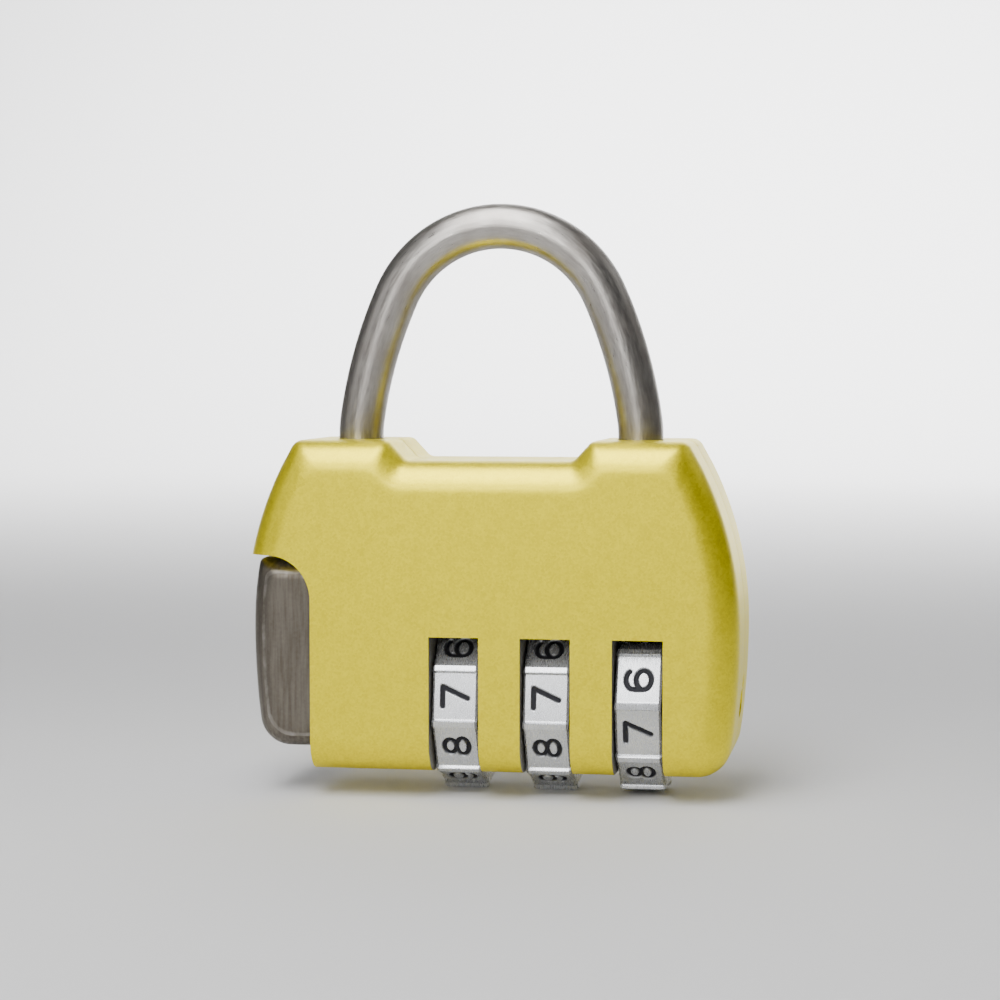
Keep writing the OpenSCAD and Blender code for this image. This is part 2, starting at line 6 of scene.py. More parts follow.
import bmesh
import bpy
import numpy as np
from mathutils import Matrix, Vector


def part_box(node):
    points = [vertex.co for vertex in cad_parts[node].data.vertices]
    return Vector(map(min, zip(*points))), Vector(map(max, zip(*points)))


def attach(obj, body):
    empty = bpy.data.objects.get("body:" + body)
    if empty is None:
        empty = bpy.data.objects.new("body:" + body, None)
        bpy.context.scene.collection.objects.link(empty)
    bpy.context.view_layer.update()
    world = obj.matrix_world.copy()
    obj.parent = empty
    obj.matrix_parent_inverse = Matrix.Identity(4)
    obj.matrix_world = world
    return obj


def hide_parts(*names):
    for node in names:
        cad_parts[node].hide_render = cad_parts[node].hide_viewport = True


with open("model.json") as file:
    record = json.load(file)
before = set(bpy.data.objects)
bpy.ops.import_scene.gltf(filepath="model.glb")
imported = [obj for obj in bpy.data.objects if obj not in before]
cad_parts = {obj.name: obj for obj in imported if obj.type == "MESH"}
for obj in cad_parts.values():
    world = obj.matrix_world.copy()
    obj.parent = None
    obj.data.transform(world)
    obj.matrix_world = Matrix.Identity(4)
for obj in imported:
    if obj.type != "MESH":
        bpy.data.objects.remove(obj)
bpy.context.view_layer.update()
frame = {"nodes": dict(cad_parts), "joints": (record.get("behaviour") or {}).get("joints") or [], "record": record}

# Camera. It stands 18 cm in front of the lock, a little to its right and above it, and looks
# at the middle of the lock with a long lens.
MM = 0.001
camera_turn, camera_rise = math.radians(9.5), math.radians(3.0)
camera_reach = 180 * MM
look_at = Vector((0, 0, 20.6 * MM))
camera_data = bpy.data.cameras.new("camera")
camera_data.lens = 90.7
camera_data.sensor_width = 36
camera_data.clip_start = 1 * MM
camera = bpy.data.objects.new("camera", camera_data)
bpy.context.collection.objects.link(camera)
toward_camera = Vector((math.sin(camera_turn) * math.cos(camera_rise),
                        -math.cos(camera_turn) * math.cos(camera_rise), math.sin(camera_rise)))
camera.location = look_at + toward_camera * camera_reach
camera.rotation_euler = (-toward_camera).to_track_quat("-Z", "Y").to_euler()
bpy.context.scene.camera = camera


# Case. Two mirrored shells of cast zinc, sprayed pearl yellow and closed with hidden pins.
# They meet at Y = 0 in a fine V-shaped seam. The edges of the windows are slightly broken.
class Value:
    """A shader socket that takes part in sums: each operator adds one Math node."""

    def __init__(self, finish, socket):
        self.finish, self.socket = finish, socket

    def maths(self, operation, first, second):
        """The value of a Math node on two values or numbers."""
        return self.finish.node("Math", {0: first, 1: second}, operation=operation)

    def __add__(self, other):
        return self.maths("ADD", self, other)

    def __radd__(self, other):
        return self.maths("ADD", other, self)

    def __sub__(self, other):
        return self.maths("SUBTRACT", self, other)

    def __rsub__(self, other):
        return self.maths("SUBTRACT", other, self)

    def __mul__(self, other):
        return self.maths("MULTIPLY", self, other)

    def __rmul__(self, other):
        return self.maths("MULTIPLY", other, self)


class Finish:
    """One material: its constants stand on the shader's own sockets, and node() adds the rest."""

    def __init__(self, name, **constants):
        self.material = bpy.data.materials.new(name)
        self.material.use_nodes = True
        self.tree = self.material.node_tree
        self.shader = self.tree.nodes["Principled BSDF"]
        for socket, value in constants.items():
            self.shader.inputs[socket.replace("_", " ")].default_value = value

    def node(self, kind, sockets=None, output=0, **settings):
        """Adds a node of that kind, its settings first, and gives the value of one output."""
        made = self.tree.nodes.new("ShaderNode" + kind)
        for key, value in settings.items():
            setattr(made, key, value)
        for key, value in (sockets or {}).items():
            self.join(value, made.inputs[key])
        return Value(self, made.outputs[output])

    def join(self, value, socket):
        """Links a Value to the socket, or sets the socket to a plain number or colour."""
        if isinstance(value, Value):
            self.tree.links.new(value.socket, socket)
        else:
            socket.default_value = value

    def feed(self, socket, value):
        """Gives one of the shader's own sockets its value."""
        self.join(value, self.shader.inputs[socket])

    def place(self):
        """Object coordinates."""
        return self.node("TexCoord", output="Object")

    def noise(self, where, scale, detail=3.0):
        """Cloudy noise from 0 to 1, with scale blotches to the unit."""
        return self.node("TexNoise", {"Vector": where, "Scale": scale, "Detail": detail})

    def stretched(self, where, ratio, scale, detail):
        """Noise whose grain is drawn out where the ratio of an axis is low."""
        return self.noise(self.node("Mapping", {"Vector": where, "Scale": ratio}), scale, detail)

    def spread(self, value, low, high, to_low=0.0, to_high=1.0):
        """Moves a value from one range to another and keeps it inside."""
        return self.node("MapRange", {0: value, 1: low, 2: high, 3: to_low, 4: to_high})

    def blend(self, factor, first, second):
        """Colour mix, from first to second as the factor goes from 0 to 1."""
        return self.node("Mix", {0: factor, 6: first, 7: second}, output=2, data_type="RGBA")

    def bump(self, height, distance, strength):
        """Raises the surface by the height times the distance, in its shading only."""
        self.feed("Normal", self.node("Bump", {"Height": height, "Distance": distance,
                                               "Strength": strength}))


def rgb(red, green, blue):
    """Opaque colour."""
    return (red, green, blue, 1.0)


def pearl_paint():
    """Yellow base coat with pearl flakes a tenth of a millimetre across, under clear lacquer.
    Faces deep inside the windows and bores show a darker grey: partly the dull unpainted casting, partly painted
    shade in those recesses."""
    paint = Finish("pearl_yellow_paint", Coat_Roughness=0.2)
    where = paint.place()
    flake = paint.node("TexVoronoi", {"Vector": where, "Scale": 7500.0}, output="Color")
    glint = paint.spread(flake, 0.0, 1.0)
    cloud = paint.noise(where, 900.0, 4.0)
    speck = paint.spread(cloud * 0.4 + glint * 0.6, 0.25, 0.75)
    bare_and_shade = paint.node("Attribute", output="Fac", attribute_name="bare_and_shade")
    yellow = paint.blend(speck, rgb(0.80, 0.66, 0.0), rgb(0.94, 0.80, 0.0))
    # Darker grey deep inside the case: unpainted zinc, and painted shade in the recesses
    paint.feed("Base Color", paint.blend(bare_and_shade, yellow, rgb(0.3, 0.285, 0.25)))
    paint.feed("Metallic", 0.85 - bare_and_shade * 0.35)
    paint.feed("Coat Weight", 0.06 - bare_and_shade * 0.06)
    paint.feed("Roughness", paint.spread(glint, 0.0, 1.0, 0.34, 0.48))
    peel = paint.noise(where, 1500.0, 2.0)
    paint.bump(glint * 0.35 + peel, 0.012 * MM, 0.6)
    return paint.material


def arc_through(corner, before, after, radius, steps):
    """Fillet of a corner: the arc of that radius tangent to both sides, steps + 1 points."""
    corner, before, after = (np.asarray(p, float) for p in (corner, before, after))
    a = (before - corner) / np.linalg.norm(before - corner)
    b = (after - corner) / np.linalg.norm(after - corner)
    half = math.acos(float(np.clip(a @ b, -1, 1))) / 2
    centre = corner + (a + b) / np.linalg.norm(a + b) * radius / math.sin(half)
    start = corner + a * radius / math.tan(half) - centre
    end = corner + b * radius / math.tan(half) - centre
    turn = math.atan2(start[0] * end[1] - start[1] * end[0], start @ end)
    angles = math.atan2(start[1], start[0]) + turn * np.linspace(0, 1, steps + 1)
    return centre + radius * np.stack([np.cos(angles), np.sin(angles)], 1)


low, high = (np.array(corner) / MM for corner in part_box("front_case"))
base_z, shoulder_z, half_w, half_d = low[2], high[2], high[0], -low[1]
edge_r, flank_r, skirt_r = 2.2, 25.0, 60.0
flank_z = base_z + 10.2
saddle_z, saddle_half, saddle_run = shoulder_z - 1.4, 5.9, 1.3
# Radius of each fillet on the seam, and how much it grows with a millimetre of inset
bottom_fillet, shoulder_fillet = (2.4, -0.4), (0.9, 0.35)
ridge_fillet, dip_fillet = (0.7, 0.45), (0.8, 0.6)


def flank_x(z, inset=0.0):
    """Half width of the case at height z: an arc of flank_r above the widest line, skirt_r below."""
    r = np.where(z > flank_z, flank_r, skirt_r)
    return half_w - r + np.sqrt((r - inset) ** 2 - (z - flank_z) ** 2)


def case_outline(inset):
    """Closed outline in XZ, moved inwards by inset, always with the same number of points:
    bottom corner, skirt, flank, shoulder corner, slope and saddle on the right, then mirrored."""
    bottom, top, floor = base_z + inset, shoulder_z - inset, saddle_z - inset
    slide = inset * math.tan(math.atan2(shoulder_z - saddle_z, saddle_run) / 2)
    low_x, top_x = float(flank_x(bottom, inset)), float(flank_x(top, inset))
    rise = np.linspace(bottom + 3.0, top - 1.9, 26)
    flank = np.stack([flank_x(rise, inset), rise], 1)
    ridge = (saddle_half + saddle_run + slide, top)
    dip = (saddle_half + slide, floor)

    def rounded(corner, before, after, fillet, steps=8):
        radius, growth = fillet
        return arc_through(corner, before, after, radius + growth * inset, steps)

    right = np.concatenate([
        [(0, bottom), (low_x - 6, bottom)],
        rounded((low_x, bottom), (0, bottom), flank[0], bottom_fillet, 10),
        flank,
        rounded((top_x, top), flank[-1], ridge, shoulder_fillet),
        rounded(ridge, (top_x, top), dip, ridge_fillet),
        rounded(dip, ridge, (0, floor), dip_fillet),
        [(0, floor)]])
    left = right[-2:0:-1] * (-1, 1)
    return np.concatenate([right, left])


def mesh_piece(name, points, faces, material=None):
    """Smooth-shaded object from points in millimetres."""
    mesh = bpy.data.meshes.new(name)
    mesh.from_pydata((np.asarray(points) * MM).tolist(), [], faces)
    mesh.polygons.foreach_set("use_smooth", np.ones(len(mesh.polygons), bool))
    if material:
        mesh.materials.append(material)
    made = bpy.data.objects.new(name, mesh)
    bpy.context.collection.objects.link(made)
    return made


def keep_sharp(piece, angle):
    """Edges whose faces meet at more than that many degrees stay sharp."""
    piece.data.set_sharp_from_angle(angle=math.radians(angle))


def grid_faces(rows, columns, start=0):
    """Quads between neighbouring closed rows of points, as lists of four indices."""
    i, j = np.meshgrid(np.arange(rows - 1), np.arange(columns), indexing="ij")
    k = (j + 1) % columns
    quads = np.stack([i * columns + j, i * columns + k, (i + 1) * columns + k,
                      (i + 1) * columns + j], -1).reshape(-1, 4) + start
    return quads.tolist()


def closed_loft(rows):
    """Points and faces of a closed shape through rings of equal length, capped at both ends."""
    rows = np.asarray(rows)
    count, across = rows.shape[:2]
    faces = grid_faces(count, across)
    faces.append(list(range(across))[::-1])
    faces.append(list(range((count - 1) * across, count * across)))
    return rows.reshape(-1, 3), faces


def outward(piece):
    """Turns the faces of a closed mesh to point outwards."""
    shape = bmesh.new()
    shape.from_mesh(piece.data)
    bmesh.ops.recalc_face_normals(shape, faces=shape.faces)
    shape.to_mesh(piece.data)
    shape.free()
    return piece


def layered(outline, depth, radius, seam=0.0, side=-1):
    """Rings of a slab from its flat back to its face: the outline is drawn in by
    radius * (1 - cos a) while it comes forward by radius * sin a. One more ring on the face
    keeps the shading of the flat apart from the rounding. A seam draws the back ring in by that
    much, for half of a V-shaped line."""
    steps, face_ring = 14, 0.25
    levels = [(seam, 0.0), (0.0, 1.2 * seam)] if seam else [(0.0, 0.0)]
    levels += [(0.0, (depth - radius) * t) for t in (0.5, 1.0)]
    turn = np.radians(np.linspace(0, 90, steps + 1)[1:])
    levels += list(zip(radius * (1 - np.cos(turn)), depth - radius + radius * np.sin(turn)))
    levels.append((radius + face_ring, depth))
    rings = []
    for inset, y in levels:
        flat = outline(inset)
        rings.append(np.stack([flat[:, 0], np.full(len(flat), side * y), flat[:, 1]], 1))
    return rings


def prism(name, profile, axis, start, end):
    """Cutter: a flat profile carried along one axis; its two other axes keep their order."""
    profile = np.asarray(profile, float)
    rings = [np.insert(profile, axis, place, axis=1) for place in (start, end)]
    return outward(mesh_piece(name, *closed_loft(rings)))


def round_profile(x, y, radius, count=64):
    """Circle round a centre, as points at equal angles."""
    turn = np.linspace(0, 2 * np.pi, count, endpoint=False)
    return np.stack([x + radius * np.cos(turn), y + radius * np.sin(turn)], 1)


def box_profile(x0, x1, y0, y1):
    """Rectangle by its limits."""
    return [(x0, y0), (x1, y0), (x1, y1), (x0, y1)]


def carve(piece, cutters):
    """Takes each cutter out of the piece, applies the result and removes the cutter."""
    for cutter in cutters:
        cut = piece.modifiers.new("cut", "BOOLEAN")
        cut.operation, cut.object, cut.solver = "DIFFERENCE", cutter, "EXACT"
        apply_modifiers(piece)
        bpy.data.objects.remove(cutter)


def apply_modifiers(piece):
    """Bakes the piece's modifiers into its mesh."""
    done = piece.evaluated_get(bpy.context.evaluated_depsgraph_get())
    mesh = bpy.data.meshes.new_from_object(done)
    old = piece.data
    piece.modifiers.clear()
    piece.data = mesh
    mesh.name = piece.name
    bpy.data.meshes.remove(old)


joints = {joint["name"]: joint for joint in frame["joints"]}
axle_z = joints["dial_1_spin"]["pos_m"][2] / MM
dial_x = [joints[f"dial_{i}_spin"]["pos_m"][0] / MM for i in (1, 2, 3)]
dial_low, dial_high = (np.array(corner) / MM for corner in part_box("dial_1"))
dial_half = (dial_high[0] - dial_low[0]) / 2
window_half, window_top, pocket_r = dial_half + 0.15, axle_z + 5.0, 6.6
wall, past, below = 1.25, 3.0, -1.0
inner_y = half_d - wall
cut_x, cut_top, cut_r = -half_w + 5.1, base_z + 15.15, 3.1
leg_x, leg_r, leg_slack = 10.1, 1.6, 0.08
catch_half, catch_end = 1.4, -6.05
well_r, well_lid = 2.5, 2.4
sleeve_bore, sleeve_bore_end, sleeve_room = 3.18, -6.2, 0.9
pin_bore, spindle_bore, spindle_bore_end = 1.08, 1.28, -5.9
slider_slack, slider_room = 0.15, 0.6
slider_low, slider_high = (np.array(corner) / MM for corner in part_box("button_slider"))
wall_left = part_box("button_spring")[1][0] / MM
sleeve_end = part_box("sleeve_3")[1][0] / MM
well_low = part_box("shackle_spring")[0][2] / MM


def case_cutters():
    """Windows and dial pockets, the corner for the button with the chamber behind it, the two
    leg holes, and the bores of the sleeves, the spindle and the code-change pin. A dial's pocket
    is an arc of pocket_r round the axle, cut off level at window_top."""
    reach = half_d + past
    over = math.acos((window_top - axle_z) / pocket_r)
    turn = np.linspace(math.pi / 2 + over, math.pi / 2 - over, 33)
    pocket = [(-reach, below), (-reach, window_top)]
    pocket += list(zip(pocket_r * np.cos(turn), axle_z + pocket_r * np.sin(turn)))
    pocket += [(reach, window_top), (reach, below)]
    for x in dial_x:
        yield prism("pocket", pocket, 0, x - window_half, x + window_half)
    turn = np.linspace(0, math.pi / 2, 17)
    corner = list(zip(cut_x - cut_r + cut_r * np.cos(turn), cut_top - cut_r + cut_r * np.sin(turn)))
    corner = [(-half_w - past, below), (cut_x, below)] + corner + [(-half_w - past, cut_top)]
    yield prism("corner", corner, 1, -reach, reach)
    floor, ceiling = slider_low[2] - slider_slack, slider_high[2] + slider_room
    # The chamber ends level with the cut-out behind the button's cap, and is higher round the slider
    for x0, x1, z1 in ((cut_x - 3.2, wall_left, cut_top - 0.001),
                       (slider_low[0] - 0.02, wall_left + 0.001, ceiling)):
        yield prism("chamber", box_profile(x0, x1, floor, z1), 1, -inner_y, inner_y)
    # The catch has room above the slider, as far as the short leg, and down along the chamber's wall
    for x0, z0, z1 in ((-leg_x, ceiling - 1.0, ceiling + 3.5),
                       (wall_left - 0.2, axle_z + 4.2, ceiling - 0.5)):
        yield prism("catch_room", box_profile(x0, catch_end, z0, z1), 1, -catch_half, catch_half)
    for x, bottom in ((-leg_x, ceiling - 0.2), (leg_x, well_low + 0.2)):
        yield prism("leg_hole", round_profile(x, 0, leg_r + leg_slack), 2, bottom, shoulder_z + past)
    yield prism("well", round_profile(leg_x, 0, well_r), 2, well_low, shoulder_z - well_lid)
    for radius, start, end in ((sleeve_bore, sleeve_bore_end, sleeve_end + sleeve_room),
                               (pin_bore, sleeve_end, half_w + 2),
                               (spindle_bore, wall_left - 0.5, spindle_bore_end)):
        yield prism("axle_bore", round_profile(0, axle_z, radius), 0, start, end)


def break_edges(piece, width, angle):
    """Rounds the sharp edges that the cutters left, then evens out the shading."""
    bevel = piece.modifiers.new("broken_edges", "BEVEL")
    bevel.width, bevel.segments = width * MM, 2
    bevel.limit_method, bevel.angle_limit = "ANGLE", math.radians(angle)
    bevel.use_clamp_overlap = True
    bevel.miter_outer = "MITER_ARC"
    apply_modifiers(piece)
    piece.data.polygons.foreach_set("use_smooth", np.ones(len(piece.data.polygons), bool))
    keep_sharp(piece, 40)
    even = piece.modifiers.new("even_shading", "WEIGHTED_NORMAL")
    even.keep_sharp = True
    even.weight = 60
    apply_modifiers(piece)


def mark_bare_and_shade(piece, bare_shade_depth=1.0, solid=3.0):
    """Marks the faces whose middle lies deeper than the given depth inside the closed case. The paint shows them
    as a darker grey, partly unpainted casting and partly painted shade in the recesses. The
    solid bottom corner is left out, because its fillet lies inside the measured outline."""
    mesh = piece.data
    middle = np.empty(3 * len(mesh.polygons))
    mesh.polygons.foreach_get("center", middle)
    x, y, z = middle.reshape(-1, 3).T / MM
    top = np.where(np.abs(x) > saddle_half + saddle_run, shoulder_z, saddle_z)
    depth = np.minimum.reduce([half_d - np.abs(y), flank_x(z) - np.abs(x), z - base_z, top - z])
    corner = (x > half_w - solid) & (z < base_z + solid)
    # Faces deep in the recesses, to be coloured darker: unpainted zinc and painted shade
    mask = mesh.attributes.new("bare_and_shade", "FLOAT", "FACE")
    mask.data.foreach_set("value", ((depth > bare_shade_depth) & ~corner).astype(np.float32))


paint = pearl_paint()
for shell_name, node, side in (("front_shell", "front_case", -1), ("back_shell", "back_case", 1)):
    rings = layered(case_outline, half_d, edge_r, seam=0.07, side=side)
    shell = outward(mesh_piece(shell_name, *closed_loft(rings), paint))
    carve(shell, case_cutters())
    break_edges(shell, width=0.1, angle=42)
    mark_bare_and_shade(shell)
    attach(shell, "case")
    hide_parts(node)


# Dials. Turned rings plated with nickel, with ten flats, a raised rib at each corner and broken
# rims. The digits are cut 0.15 mm deep across each flat and filled dark. Inside they are bored
# out to the roots of the teeth that the sleeve runs in, with a web at the right-hand end.
digit_size, stroke_half, digit_depth = 1.75, 0.15, 0.15
stroke_in, stroke_out, glyph_width = 0.03, 0.05, 1.3
facets = 10
facet_step = 360 / facets
dial_r, facet_r, rib_half, rib_soft, rib_drop = 6.4, 6.18, 0.225, 0.04, 0.03
flat_r = facet_r * math.cos(math.radians(facet_step / 2))
rim_width, rim_fall = 0.15, 0.9
root_r, web_x, lip_r, hub_r = 3.88, 1.1, 5.1, 4.0
dial_steps, dial_rings = 1000, 66
code, facet_turn = (7, 7, 6), (8.0, 8.0, 22.0)


def bow(x, y, rx, ry, start, end, steps=12):
    """Part of an ellipse, angles in degrees, as a list of points."""
    turn = np.radians(np.linspace(start, end, steps + 1))
    return list(zip(x + rx * np.cos(turn), y + ry * np.sin(turn)))


# Middle lines of the digits in a box 1.2 wide and 2 high
glyphs = (
    [bow(0.6, 1.4, 0.6, 0.6, 0, 180) + bow(0.6, 0.6, 0.6, 0.6, 180, 360) + [(1.2, 1.4)]],
    [[(0.2, 1.6), (0.65, 2.0), (0.65, 0.0)]],
    [bow(0.6, 1.4, 0.6, 0.6, 165, -35) + [(0.0, 0.0), (1.2, 0.0)]],
    [bow(0.58, 1.5, 0.5, 0.5, 150, -90) + bow(0.58, 0.5, 0.6, 0.5, 90, -150)[1:]],
    [[(0.9, 0.0), (0.9, 2.0), (0.0, 0.6), (1.2, 0.6)]],
    [[(1.1, 2.0), (0.15, 2.0), (0.05, 1.1)] + bow(0.58, 0.62, 0.6, 0.62, 125, -150)],
    [bow(0.6, 0.6, 0.6, 0.6, 0, 360, 24), [(0.0, 0.6), (0.0, 1.3)]
     + bow(0.6, 1.4, 0.6, 0.6, 180, 35)],
    [[(0.0, 2.0), (1.2, 2.0), (0.5, 0.0)]],
    [bow(0.6, 1.5, 0.5, 0.5, 0, 360, 20), bow(0.6, 0.5, 0.6, 0.5, 0, 360, 20)],
    [bow(0.6, 1.4, 0.6, 0.6, 0, 360, 24), [(1.2, 1.4), (1.2, 0.7)]
     + bow(0.6, 0.6, 0.6, 0.6, 0, -145)])


def stroke_distance(digit, across, up):
    """Distance of each point (across, up) from the middle line of a digit of digit_size."""
    half = digit_size / 2
    nearest = np.full(across.shape, np.inf)
    for line in glyphs[digit]:
        points = (np.array(line) - (0.6, 1.0)) * half * (glyph_width, 1.0)
        for start, end in zip(points[:-1], points[1:]):
            along = end - start
            share = ((across - start[0]) * along[0] + (up - start[1]) * along[1]) / (along @ along)
            share = np.clip(share, 0, 1)
            gap = np.hypot(across - start[0] - share * along[0], up - start[1] - share * along[1])
            nearest = np.minimum(nearest, gap)
    return nearest


def smooth(value, low_edge, high_edge):
    """0 below low_edge, 1 above high_edge, with a soft step between."""
    t = np.clip((value - low_edge) / (high_edge - low_edge), 0, 1)
    return t * t * (3 - 2 * t)


def dial_surface(shown, lean):
    """Radius over angle and width: ten flats at flat_r / cos(angle), ribs at their corners,
    rims that fall away, and the digits sunk in. Returns rings of points and the ink mask."""
    turn = np.radians(np.arange(dial_steps) * (360 / dial_steps))[None, :]
    edge = dial_half - np.array([0, 0.05, 0.1, 0.16, 0.22])
    middle = np.linspace(-edge[-1], edge[-1], dial_rings)
    width = np.concatenate([-edge[:-1], middle, edge[-2::-1]])[:, None]
    part = (np.degrees(turn) - lean + facet_step / 2) % facet_step - facet_step / 2
    number = np.round((np.degrees(turn) - lean - part) / facet_step).astype(int)
    angle = np.radians(part)
    radius = flat_r / np.cos(angle) + 0 * width
    aside = flat_r * np.tan(np.radians(facet_step / 2) - np.abs(angle))
    rib = smooth(aside, rib_half + rib_soft, rib_half - rib_soft)
    radius = np.maximum(radius, radius + (dial_r - rib_drop - radius) * rib)
    across, up = flat_r * np.tan(angle) + 0 * width, -width + 0 * turn
    ink = np.zeros(radius.shape)
    for facet in range(facets):
        here = np.broadcast_to(number % facets == facet, radius.shape)
        gap = stroke_distance((shown - facet) % facets, across[here], up[here])
        ink[here] = smooth(gap, stroke_half + stroke_out, stroke_half - stroke_in)
    radius -= digit_depth * ink
    radius -= np.clip(rim_width - (dial_half - np.abs(width)), 0, None) * rim_fall
    return turn, width, radius, ink


def make_dial(name, x, shown, lean, material):
    """The outer surface carried on round both end faces and the stepped bore, so that the last
    ring of points closes on the first."""
    turn, width, radius, ink = dial_surface(shown, lean)
    rim = np.ones((1, dial_steps))
    inner = [(dial_half, lip_r), (dial_half, hub_r), (dial_half, sleeve_bore), (web_x, sleeve_bore),
             (web_x, root_r), (-dial_half, root_r), (-dial_half, lip_r)]
    width = np.concatenate([width] + [[[place]] for place, _ in inner])
    radius = np.concatenate([radius] + [rim * r for _, r in inner])
    ink = np.concatenate([ink] + [rim * 0 for _ in inner])
    points = np.stack([x + width + 0 * turn, -radius * np.cos(turn), axle_z + radius * np.sin(turn)], -1)
    rows = len(points)
    faces = np.array(grid_faces(rows + 1, dial_steps)) % (rows * dial_steps)
    made = outward(mesh_piece(name, points.reshape(-1, 3), faces.tolist(), material))
    keep_sharp(made, 32)
    mask = made.data.attributes.new("ink", "FLOAT", "POINT")
    mask.data.foreach_set("value", ink.ravel().astype(np.float32))
    return made


def nickel_plate():
    """Satin nickel with fine turning lines, faint clouds and a dull dark fill in the digits."""
    nickel = Finish("dial_nickel", Metallic=0.8)
    where = nickel.place()
    ink = nickel.node("Attribute", output="Fac", attribute_name="ink")
    lines = nickel.stretched(where, (9.0, 1.0, 1.0), 2500.0, 3.0)
    haze = nickel.noise(where, 700.0)
    metal = nickel.blend(haze, rgb(0.52, 0.53, 0.55), rgb(0.66, 0.67, 0.69))
    nickel.feed("Base Color", nickel.blend(ink, metal, rgb(0.03, 0.03, 0.035)))
    nickel.feed("Roughness", nickel.spread(lines, 0.3, 0.7, 0.22, 0.34) + ink * 0.35)
    nickel.bump(lines, 0.004 * MM, 0.4)
    return nickel.material


dial_finish = nickel_plate()
for i, body in enumerate(("dial_a", "dial_b", "dial_c")):
    dial = make_dial(f"dial_ring_{i + 1}", dial_x[i], code[i], facet_turn[i], dial_finish)
    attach(dial, body)
    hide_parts(f"dial_{i + 1}")


# Shackle. One length of drawn steel wire, bent to a crown on two leaning haunches, plated and
# brushed along its length. The short leg is notched for the catch, the long leg is grooved.
catch_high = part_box("catch_spring")[1][2] / MM
clip_low, clip_high = (corner[2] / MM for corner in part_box("shackle_clip"))
foot_z, foot_r, haunch_r = shoulder_z + 0.3, 8.0, 33.0
foot_lean, haunch_lean = math.radians(8), math.radians(24)
tip_z, tip_break = shoulder_z - 5.8, 0.5
long_end_z, end_break, groove_depth = well_low + 1.95, 0.1, 0.4
notch_depth, notch_tall, notch_top = 0.9, 1.3, catch_high + 0.15


def wire_line():
    """Middle line of the wire from the end of the long leg to the tip of the short one:
    straight leg, small foot arc, long haunch arc, crown arc, then the same on the other side.
    Each row is x, z, the direction of the outer side and the radius of the wire there."""
    foot_in = foot_r * (1 - math.cos(foot_lean))
    haunch_in = haunch_r * (math.cos(foot_lean) - math.cos(haunch_lean))
    haunch_z = foot_z + foot_r * math.sin(foot_lean)
    crown_foot_z = haunch_z + haunch_r * (math.sin(haunch_lean) - math.sin(foot_lean))
    crown_r = (leg_x - foot_in - haunch_in) / math.cos(haunch_lean)
    crown_z = crown_foot_z - crown_r * math.sin(haunch_lean)

    def stretch(cx, cz, r, start, end, steps):
        """Arc round (cx, cz), without its first point."""
        a = np.linspace(start, end, steps + 1)[1:]
        return np.stack([cx + r * np.cos(a), cz + r * np.sin(a), a, 0 * a + leg_r], 1)

    def leg(heights, radii):
        """Straight run at leg_x."""
        return np.stack([0 * heights + leg_x, heights, 0 * heights, radii], 1)

    arcs = np.concatenate([
        stretch(leg_x - foot_r, foot_z, foot_r, 0, foot_lean, 6),
        stretch(leg_x - foot_in - haunch_r * math.cos(foot_lean),
                haunch_z - haunch_r * math.sin(foot_lean), haunch_r, foot_lean, haunch_lean, 18),
        stretch(0, crown_z, crown_r, haunch_lean, math.pi / 2, 34)])
    groove = np.array([long_end_z, long_end_z + end_break, clip_low, clip_low + 0.01, clip_high + 0.02,
                       clip_high + 0.03])
    groove_r = leg_r - np.array([end_break, 0, 0, groove_depth, groove_depth, 0])
    rise = np.linspace(clip_high + 1, foot_z, 8)
    long_leg = np.concatenate([leg(groove, groove_r), leg(rise, 0 * rise + leg_r)])
    drop = np.append(np.linspace(foot_z, tip_z + tip_break, 12), tip_z)
    short = leg(drop, np.append(np.full(12, leg_r), leg_r - tip_break))
    short[:, 0] *= -1
    short[:, 2] = math.pi
    mirrored = arcs[-2::-1] * (-1, 1, 1, 1)
    mirrored[:, 2] = math.pi - arcs[-2::-1, 2]
    return np.concatenate([long_leg, arcs, mirrored, short])


def sweep_wire(name, line, material, around=48):
    """Circle carried along the line, its plane square to it, with the running length and the
    share of the turn round the wire as UVs. Where a face closes the circle, the share is 1, not 0."""
    turn = np.linspace(0, 2 * np.pi, around, endpoint=False)[None, :]
    x, z, lean, r = (line[:, k:k + 1] for k in range(4))
    points = np.stack([x + r * np.cos(turn) * np.cos(lean), r * np.sin(turn) + 0 * x,
                       z + r * np.cos(turn) * np.sin(lean)], -1)
    made = mesh_piece(name, *closed_loft(points), material)
    run = np.concatenate([[0], np.cumsum(np.hypot(*np.diff(line[:, :2], axis=0).T))])
    uv = made.data.uv_layers.new(name="wire")
    corner = np.empty(len(made.data.loops), int)
    made.data.loops.foreach_get("vertex_index", corner)
    across = (corner % around) / around
    start, total = (np.empty(len(made.data.polygons), int) for _ in range(2))
    made.data.polygons.foreach_get("loop_start", start)
    made.data.polygons.foreach_get("loop_total", total)
    across = np.where((across == 0) & (across[np.repeat(start, total)] > 0.5), 1.0, across)
    uv.data.foreach_set("uv", np.stack([run[corner // around], across], 1).ravel())
    keep_sharp(outward(made), 40)
    return made


def drawn_steel():
    """Plated wire, brushed along its length, with dull brownish patches."""
    steel = Finish("shackle_steel", Metallic=1.0)
    uv = steel.node("UVMap", uv_map="wire")
    streaks = steel.stretched(uv, (0.35, 26.0, 1.0), 3.0, 5.0)
    patches = steel.spread(steel.noise(steel.place(), 260.0, 5.0), 0.42, 0.62)
    metal = steel.blend(streaks, rgb(0.30, 0.28, 0.26), rgb(0.56, 0.535, 0.50))
    steel.feed("Base Color", steel.blend(patches * 0.35, metal, rgb(0.15, 0.12, 0.10)))
    steel.feed("Roughness", steel.spread(streaks, 0.25, 0.75, 0.24, 0.42) + patches * 0.08)
    steel.bump(streaks, 0.02 * MM, 0.5)
    return steel.material


